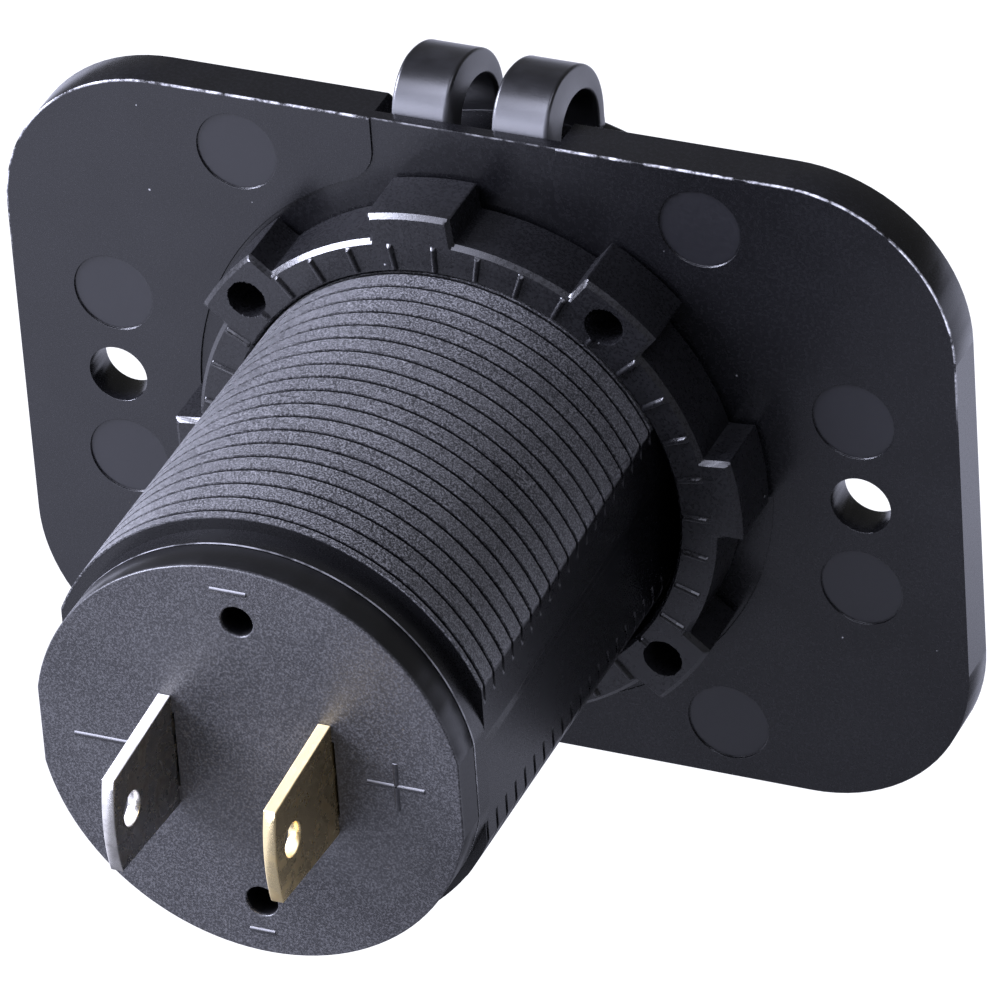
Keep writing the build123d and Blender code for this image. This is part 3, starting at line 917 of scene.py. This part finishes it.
@dataclass
class DustCap:
    """Soft dust cap: ring, two loop straps and lid."""

    finish: SoftPlastic
    strap_width: float = 3.55
    strap_gap: float = 2.85
    back: float = -0.95
    inner_back: float = -3.25
    inner_front: float = -8.7
    front: float = -9.8
    crown_y: float = -3.9
    crown_z: float = 23.95
    inner_crown_y: float = -5.35
    inner_crown_z: float = 21.65
    foot_z: float = 19.25
    leg_z: float = 18.6
    lug_top: float = 18.2
    lid_radius: float = 17.9
    lid_front: float = -10.45
    lid_rear: float = -8.65
    bend: Point = (-3.3, -8.6)
    dish: float = 0.25
    ring_section: Point = (3.7, 3.0)
    ring_edge: float = 0.4
    ring_centre: Point = (16.45, -2.4)
    panel: float = 14.7
    panel_depth: float = 0.35
    skirt: Point = (12.0, 13.3)
    skirt_length: float = 1.6
    skirt_edge: float = 0.25
    pull_tab: Point = (9.0, 6.0)

    def side_curve(self, inner: bool, count: int = 40) -> Array:
        """One side of the strap's outline in side view.

        A straight root, a quarter arc up to the crown, a quarter ellipse down to the leg, and
        a straight end that dips into the lid's lug.

        Args:
            inner: the inside of the loop instead of the outside.
            count: points on each quarter.

        Returns:
            Points (y, z) from the root to the lid.
        """
        rear, front = (self.inner_back, self.inner_front) if inner else (self.back, self.front)
        crown_y, crown_z = (self.inner_crown_y, self.inner_crown_z) if inner else (self.crown_y, self.crown_z)
        quarter = np.linspace(0.0, math.pi / 2, count)
        radius = rear - crown_y
        up_z = crown_z - radius + radius * np.sin(quarter)
        up = np.stack([crown_y + radius * np.cos(quarter), up_z], axis=-1)
        reach = crown_y - front
        drop = crown_z - self.leg_z
        down = np.stack([crown_y - reach * np.sin(quarter), self.leg_z + drop * np.cos(quarter)], axis=-1)
        root = np.linspace((rear, self.foot_z - 1.0), up[0], 8)[:-1]
        end = np.linspace(down[-1], (front, self.lug_top - 1.2), 8)[1:]
        return np.concatenate([root, up, down[1:], end])

    def strap_grid(self, centre: float) -> Array:
        """A strap as a rounded section carried along the loop.

        The section's width runs along X and its thickness between the outer and inner curves:
        p = middle + a * (outer - inner) + b * X, with (a, b) a rounded rectangle.

        Args:
            centre: the strap's x.

        Returns:
            The grid of points.
        """
        outer, inner = self.side_curve(False), self.side_curve(True)
        middle = (outer + inner) / 2
        across = outer - inner
        thick = np.linalg.norm(across, axis=1)
        unit = across / thick[:, None]
        angles = np.linspace(0.0, 2.0 * math.pi, 48, endpoint=False)
        cos, sin = np.cos(angles), np.sin(angles)
        corner = 0.3
        half = self.strap_width / 2
        side = np.sign(cos) * (half - corner) + corner * cos
        rise = np.sign(sin)[None, :] * (thick[:, None] / 2 - corner) + corner * sin[None, :]
        high = np.clip((middle[:, 1] - self.foot_z) / (self.inner_crown_z - self.foot_z), 0.0, 1.0)
        sag = self.dish * (1.0 - (side / half) ** 2) * (sin > 0)
        rise = rise - high[:, None] ** 3 * sag[None, :]
        x = np.broadcast_to(centre + side, rise.shape)
        y = middle[:, :1] + unit[:, :1] * rise
        z = middle[:, 1:] + unit[:, 1:] * rise
        grid = np.stack([x, y, z], axis=-1)
        start = np.broadcast_to(grid[:1].mean(axis=1, keepdims=True), grid[:1].shape)
        end = np.broadcast_to(grid[-1:].mean(axis=1, keepdims=True), grid[-1:].shape)
        return np.concatenate([start, grid, end])

    def strap(self, name: str, centre: float, material: bpy.types.Material) -> bpy.types.Object:
        """Make one strap, a loop from the ring to the lid.

        Args:
            name: "left" or "right".
            centre: the strap's x.
            material: the cap's finish.

        Returns:
            The piece that stands for the CAD strap.
        """
        shell = Shell(f"cap_strap_{name}_soft")
        shell.add(self.strap_grid(centre), wrap=True)
        made = shell.build(material, "soft_cap", sharp=50.0)
        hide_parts(f"cap_strap_{name}")
        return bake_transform(made)

    def ring(self, material: bpy.types.Material) -> bpy.types.Object:
        """Make the ring and the web that carries the straps.

        Args:
            material: the cap's finish.

        Returns:
            The piece that stands for the CAD ring.
        """
        shell = Shell("cap_ring_soft")
        section, _ = rounded_outline(*self.ring_section, self.ring_edge)
        radii, depths = (section + np.array(self.ring_centre)).T
        shell.add(turn_grid(radii, depths, even_angles(160)), wrap=True, loop=True)
        width = 2 * self.strap_width + self.strap_gap
        height = self.foot_z - 15.2
        centre = (0.0, self.foot_z - height / 2)
        shell.add(pillow_slab(centre, (width, height), 0.5, (self.inner_back, self.back), 0.3))
        made = shell.build(material, "soft_cap", sharp=40.0)
        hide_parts("cap_ring")
        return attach(made, Body.SOCKET.value)

    def lid(self, material: bpy.types.Material) -> bpy.types.Object:
        """Make the lid: a turned disc with a shallow panel, plug skirt, pull tab and strap lug.

        Args:
            material: the cap's finish.

        Returns:
            The piece that stands for the CAD lid.
        """
        front, rear, radius = self.lid_front, self.lid_rear, self.lid_radius
        panel, floor = self.panel, front + self.panel_depth
        face = np.array([(0.0, floor), (6.0, floor), (panel - 0.5, floor), (panel, front + 0.08)])
        lip = corner_arc((panel + 0.3, front + 0.3), 0.3, 225.0, 270.0, 4)
        rim_front = corner_arc((radius - 0.7, front + 0.7), 0.7, 270.0, 360.0)
        rim_rear = corner_arc((radius - 0.3, rear - 0.3), 0.3, 0.0, 90.0, 5)
        inside, outside = self.skirt
        end, edge = rear + self.skirt_length, self.skirt_edge
        outer = [(outside, rear), (outside, end - edge), (outside - edge, end)]
        skirt = np.array([*outer, (inside + edge, end), (inside, end - edge), (inside, rear)])
        profile = np.concatenate([face, lip, rim_front, rim_rear, skirt, [(0.0, rear)]])
        shell = Shell("cap_lid_soft")
        shell.add(turn_grid(profile[:, 0], profile[:, 1], even_angles(192)))
        shell.add(pillow_slab((0.0, -radius), self.pull_tab, 2.2, (front + 0.6, rear), 0.4))
        width = 2 * self.strap_width + self.strap_gap
        lug = (0.0, self.lug_top - 2.0)
        shell.add(pillow_slab(lug, (width, 4.0), 0.5, (self.front, self.inner_front), 0.25))
        made = shell.build(material, "soft_cap", sharp=40.0)
        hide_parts("cap_lid")
        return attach(made, Body.LID.value)

    def build(self) -> list[bpy.types.Object]:
        """Make the whole cap.

        Returns:
            Ring, straps and lid.
        """
        material = self.finish.material()
        offset = (self.strap_gap + self.strap_width) / 2
        return [
            self.ring(material),
            self.strap("left", -offset, material),
            self.strap("right", offset, material),
            self.lid(material),
        ]


@dataclass
class RearSigns:
    """Moulded polarity signs on the rear cap: thin ridges with round ends."""

    finish: MouldedPlastic
    face: float = 35.1
    half: float = 0.16
    rise: float = 0.09
    strokes: tuple[tuple[Point, Point], ...] = (
        ((1.5, 11.8), (-0.75, 11.8)),
        ((0.9, -11.9), (-0.7, -11.9)),
        ((11.0, -0.2), (7.5, -0.2)),
        ((-7.4, 0.33), (-10.95, 0.33)),
        ((-9.2, 1.95), (-9.2, -1.3)),
    )

    def ridge(self, path: Array) -> Array:
        """A half-round ridge along a path on the cap's face.

        The section is an ellipse across the path, half of it under the face. Each end closes to
        a point.

        Args:
            path: points (x, z) along the stroke.

        Returns:
            The grid of points.
        """
        ahead = np.gradient(path, axis=0)
        ahead /= np.linalg.norm(ahead, axis=1, keepdims=True)
        across = np.stack([-ahead[:, 1], ahead[:, 0]], axis=-1)
        angles = even_angles(10)
        x = path[:, :1] + across[:, :1] * np.cos(angles) * self.half
        z = path[:, 1:] + across[:, 1:] * np.cos(angles) * self.half
        y = np.broadcast_to(self.face + np.sin(angles) * self.rise, x.shape)
        grid = np.stack([x, y, z], axis=-1)
        tips = np.broadcast_to(grid[[0, -1]].mean(axis=1, keepdims=True), (2, *grid.shape[1:]))
        return np.concatenate([tips[:1], grid, tips[1:]])

    def build(self) -> bpy.types.Object:
        """Make all the signs as one piece.

        Returns:
            The piece.
        """
        shell = Shell("rear_cap_signs")
        for start, end in self.strokes:
            shell.add(self.ridge(np.linspace(start, end, 12)))
        made = shell.build(self.finish.material(), "black_plastic", sharp=60.0)
        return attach(made, Body.SOCKET.value)


@dataclass
class CadNodes:
    """The CAD nodes that stay as they are and only get a finish and broken edges."""

    finishes: dict[str, Any]
    bevels: dict[str, float] = field(default_factory=dict)

    def build(self) -> None:
        """Give each node its material, and a small bevel where one is asked for."""
        made: dict[str, bpy.types.Material] = {}
        for node, finish in self.finishes.items():
            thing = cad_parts[node]
            if finish.name not in made:
                made[finish.name] = finish.material()
            thing.data.materials.clear()
            thing.data.materials.append(made[finish.name])
            if node in self.bevels:
                self.break_edges(thing, self.bevels[node])
            LOG.info("%s: %s", node, finish.name)

    def break_edges(self, thing: bpy.types.Object, width: float) -> None:
        """Weld a node's triangles and round its sharp edges.

        Args:
            thing: the CAD node.
            width: bevel width in millimetres.
        """
        weld = thing.modifiers.new("weld", "WELD")
        weld.merge_threshold = 1e-6
        bevel = thing.modifiers.new("edges", "BEVEL")
        bevel.width = width * MM
        bevel.segments = 2
        bevel.limit_method = "ANGLE"
        bevel.angle_limit = math.radians(40.0)
        bevel.harden_normals = True
        bevel.use_clamp_overlap = True


@dataclass(frozen=True)
class Lamp:
    """A square soft light: its direction from the part, distance and side in metres, and watts."""

    name: str
    aim: Triple
    distance: float
    size: float
    power: float


@dataclass
class Studio:
    """Pale floor, soft light and the photograph's camera."""

    floor: float = -95.0
    camera_place: Triple = (-210.68, 453.435, 329.188)
    camera_turn: Triple = (56.2123, 3.5405, -157.4301)
    lens: float = 360.0
    shift: Point = (0.0133, 0.0008)
    bright_reflection_x: Point = (60.0, 84.0)
    bright_reflection_y: Point = (-150.0, -70.0)
    cool: Colour = (1.0, 1.03, 1.3)
    painted_dark_reflection: Colour = (0.035, 0.035, 0.042)
    white: Colour = (1.0, 1.0, 1.0)
    pale: Colour = (0.9, 0.9, 0.9)
    glow_share: float = 0.9
    world_level: Point = (0.2, 1.0)
    floor_side: float = 3000.0
    lamps: tuple[Lamp, ...] = (
        Lamp("key", (0.85, 0.3, 0.6), 1.0, 0.5, 58.0),
        Lamp("rear_soft", (0.35, 0.93, 0.16), 0.7, 0.38, 3.2),
        Lamp("top_fill", (0.33, 0.52, 0.78), 1.0, 0.5, 5.0),
        Lamp("right_fill", (-0.35, 0.25, 0.9), 1.0, 0.5, 5.0),
    )

    def camera(self) -> None:
        """A long lens at the photograph's viewing angle."""
        data = bpy.data.cameras.new("camera")
        data.lens = self.lens
        data.sensor_width = 36.0
        data.shift_x, data.shift_y = self.shift
        data.clip_start, data.clip_end = 0.01, 20.0
        made = bpy.data.objects.new("camera", data)
        made.location = Vector(self.camera_place) * MM
        made.rotation_euler = Euler([math.radians(a) for a in self.camera_turn], "XYZ")
        bpy.context.scene.collection.objects.link(made)
        bpy.context.scene.camera = made

    def light(self, lamp: Lamp) -> None:
        """Hang one lamp, aimed at the part.

        Args:
            lamp: its place, size and power.
        """
        data = bpy.data.lights.new(lamp.name, "AREA")
        data.shape = "SQUARE"
        data.size = lamp.size
        data.energy = lamp.power
        data.color = tuple(c / max(self.cool) for c in self.cool)
        made = bpy.data.objects.new(lamp.name, data)
        made.visible_camera = False
        direction = Vector(lamp.aim).normalized()
        made.location = direction * lamp.distance
        made.rotation_euler = direction.to_track_quat("Z", "Y").to_euler()
        bpy.context.scene.collection.objects.link(made)

    def ground(self) -> None:
        """A wide pale floor under the part. Glossy rays see it glow as a painted reflection: dark where x is
        under 60 mm and y over -70 mm, bright elsewhere.
        """
        x = np.array([-self.floor_side, self.floor_side])
        grid = np.stack([*np.meshgrid(x, x, indexing="ij"), np.full((2, 2), self.floor)], axis=-1)
        shell = Shell("floor")
        shell.add(grid, wrap=False)
        material = bpy.data.materials.new("pale_floor")
        sheet = NodeSheet(material)
        camera = sheet.make("ShaderNodeLightPath", out="Is Camera Ray")
        glossy = sheet.make("ShaderNodeLightPath", out="Is Glossy Ray")
        x, y, _ = sheet.split(sheet.place())
        diffuse = sheet.make("ShaderNodeBsdfDiffuse", None, {"Color": self.pale})
        # Painted reflection: to glossy rays the floor glows dark in one region, a painted shade in the part's
        # reflections, and bright elsewhere.
        bright_reflection_mask = x.ramp(*self.bright_reflection_x).most(y.ramp(*self.bright_reflection_y, 1.0, 0.0))
        reflected_floor = sheet.mix(bright_reflection_mask, self.painted_dark_reflection, self.cool)
        shade = sheet.mix(glossy, self.white, reflected_floor)
        glow = sheet.make("ShaderNodeEmission", None, {"Color": shade, "Strength": 1.0})
        share = camera.most(glossy) * self.glow_share
        sheet.output(sheet.make("ShaderNodeMixShader", None, {0: share, 1: diffuse, 2: glow}))
        shell.build(material, None)

    def world(self) -> None:
        """A pale surround that lights softly and shows white to the camera."""
        world = bpy.data.worlds.new("surround")
        bpy.context.scene.world = world
        sheet = NodeSheet(world)
        camera = sheet.make("ShaderNodeLightPath", out="Is Camera Ray")
        through = sheet.make("ShaderNodeLightPath", out="Is Transmission Ray")
        low, high = self.world_level
        level = camera.most(through) * (high - low) + low
        back = sheet.make("ShaderNodeBackground", None, {"Strength": level})
        sheet.output(back, "ShaderNodeOutputWorld")

    def build(self) -> None:
        """Set the stage."""
        self.camera()
        self.ground()
        self.world()
        for lamp in self.lamps:
            self.light(lamp)
        bpy.context.scene.view_settings.view_transform = "Standard"


def corners(box: Sequence[Vector]) -> list[list[float]]:
    """Box corners as plain lists."""
    return [[float(v) for v in corner] for corner in box]


def main() -> None:
    """Build every sub-assembly in order."""
    logging.basicConfig(level=logging.INFO)
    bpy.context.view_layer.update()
    plate = MouldedPlastic(
        "plate_plastic",
        colour=(0.002, 0.002, 0.0025),
        worn=(0.016, 0.016, 0.019),
        roughness=0.27,
        spread=0.04,
        grain=4.0,
        grain_depth=0.002,
        sparkle=0.08,
        dust=0.4,
        painted_edge_highlight=True,
        marks=((14.8, 17.6), (23.9, 5.9)),
    )
    body = MouldedPlastic(
        "barrel_plastic",
        colour=(0.012, 0.012, 0.013),
        worn=(0.16, 0.16, 0.165),
        roughness=0.4,
        spread=0.08,
        grain=9.0,
        grain_depth=0.03,
        sparkle=0.8,
        dust=0.2,
        where_grained=Grain.CRESTS,
        pitted=(0.42, 0.66),
        seam=32.7,
    )
    rear = MouldedPlastic(
        "rear_cap_plastic",
        colour=(0.01, 0.01, 0.011),
        worn=(0.072, 0.072, 0.075),
        roughness=0.44,
        spread=0.08,
        grain=7.5,
        grain_depth=0.018,
        sparkle=0.5,
        dust=0.2,
        where_grained=Grain.REAR_FACE,
        pitted=(0.4, 0.7),
    )
    nut = MouldedPlastic(
        "nut_plastic",
        colour=(0.003, 0.003, 0.0035),
        worn=(0.02, 0.02, 0.022),
        roughness=0.3,
        spread=0.08,
        grain_depth=0.006,
        sparkle=0.2,
    )
    signs = MouldedPlastic(
        "sign_plastic",
        colour=(0.01, 0.01, 0.011),
        worn=(0.04, 0.04, 0.042),
        roughness=0.3,
        spread=0.05,
        grain_depth=0.004,
        sparkle=0.2,
        dust=0.0,
        painted_top_highlight=True,
    )
    face = MouldedPlastic("face_plastic", roughness=0.5, grain=5.0)
    tin = RolledMetal("tinned_tab", (0.82, 0.8, 0.75), (0.11, 0.1, 0.09), sheared=True)
    brass = RolledMetal("brass_tab", (0.92, 0.76, 0.44), (0.8, 0.6, 0.27), sheared=True)
    steel = RolledMetal("plated_shell", (0.62, 0.62, 0.63), (0.4, 0.4, 0.42))
    gold = RolledMetal("gold_contact", (0.85, 0.66, 0.3), (0.6, 0.45, 0.2))
    white = PlainPart("tongue_white", (0.75, 0.75, 0.73), (0.6, 0.6, 0.58))
    mask = PlainPart("board_mask", (0.03, 0.16, 0.07), (0.02, 0.1, 0.05), 0.35)
    can = PlainPart("can_sleeve", (0.5, 0.51, 0.53), (0.35, 0.36, 0.38), 0.35, 1.0)
    core = PlainPart("coil_ferrite", (0.08, 0.08, 0.085), (0.04, 0.04, 0.045), 0.6)
    chip = PlainPart("chip_epoxy", (0.03, 0.03, 0.032), (0.015, 0.015, 0.016), 0.55)
    black_lead = PlainPart("lead_black", (0.015, 0.015, 0.016), (0.03, 0.03, 0.03), 0.4)
    red_lead = PlainPart("lead_red", (0.4, 0.02, 0.02), (0.28, 0.015, 0.015), 0.4)
    finishes = {
        "mounting_plate": plate,
        "rear_cap": rear,
        "front_insert": face,
        "terminal_negative": tin,
        "terminal_positive": brass,
        "port_board": mask,
        "input_capacitor": can,
        "output_capacitor": can,
        "inductor": core,
        "converter_chip": chip,
        "lead_negative": black_lead,
        "lead_positive": red_lead,
    }
    for level in ("upper", "lower"):
        finishes[f"usb_shell_{level}"] = steel
        finishes[f"usb_tongue_{level}"] = white
        finishes[f"usb_contacts_{level}"] = gold
    bevels = {"mounting_plate": 0.06, "rear_cap": 0.15, "terminal_negative": 0.08, "terminal_positive": 0.08}
    CadNodes(finishes, bevels).build()
    SocketMoulding(body).build()
    RingNut(nut).build()
    DustCap(SoftPlastic("soft_cap")).build()
    RearSigns(signs).build()
    Studio().build()


if __name__ == "__main__":
    main()
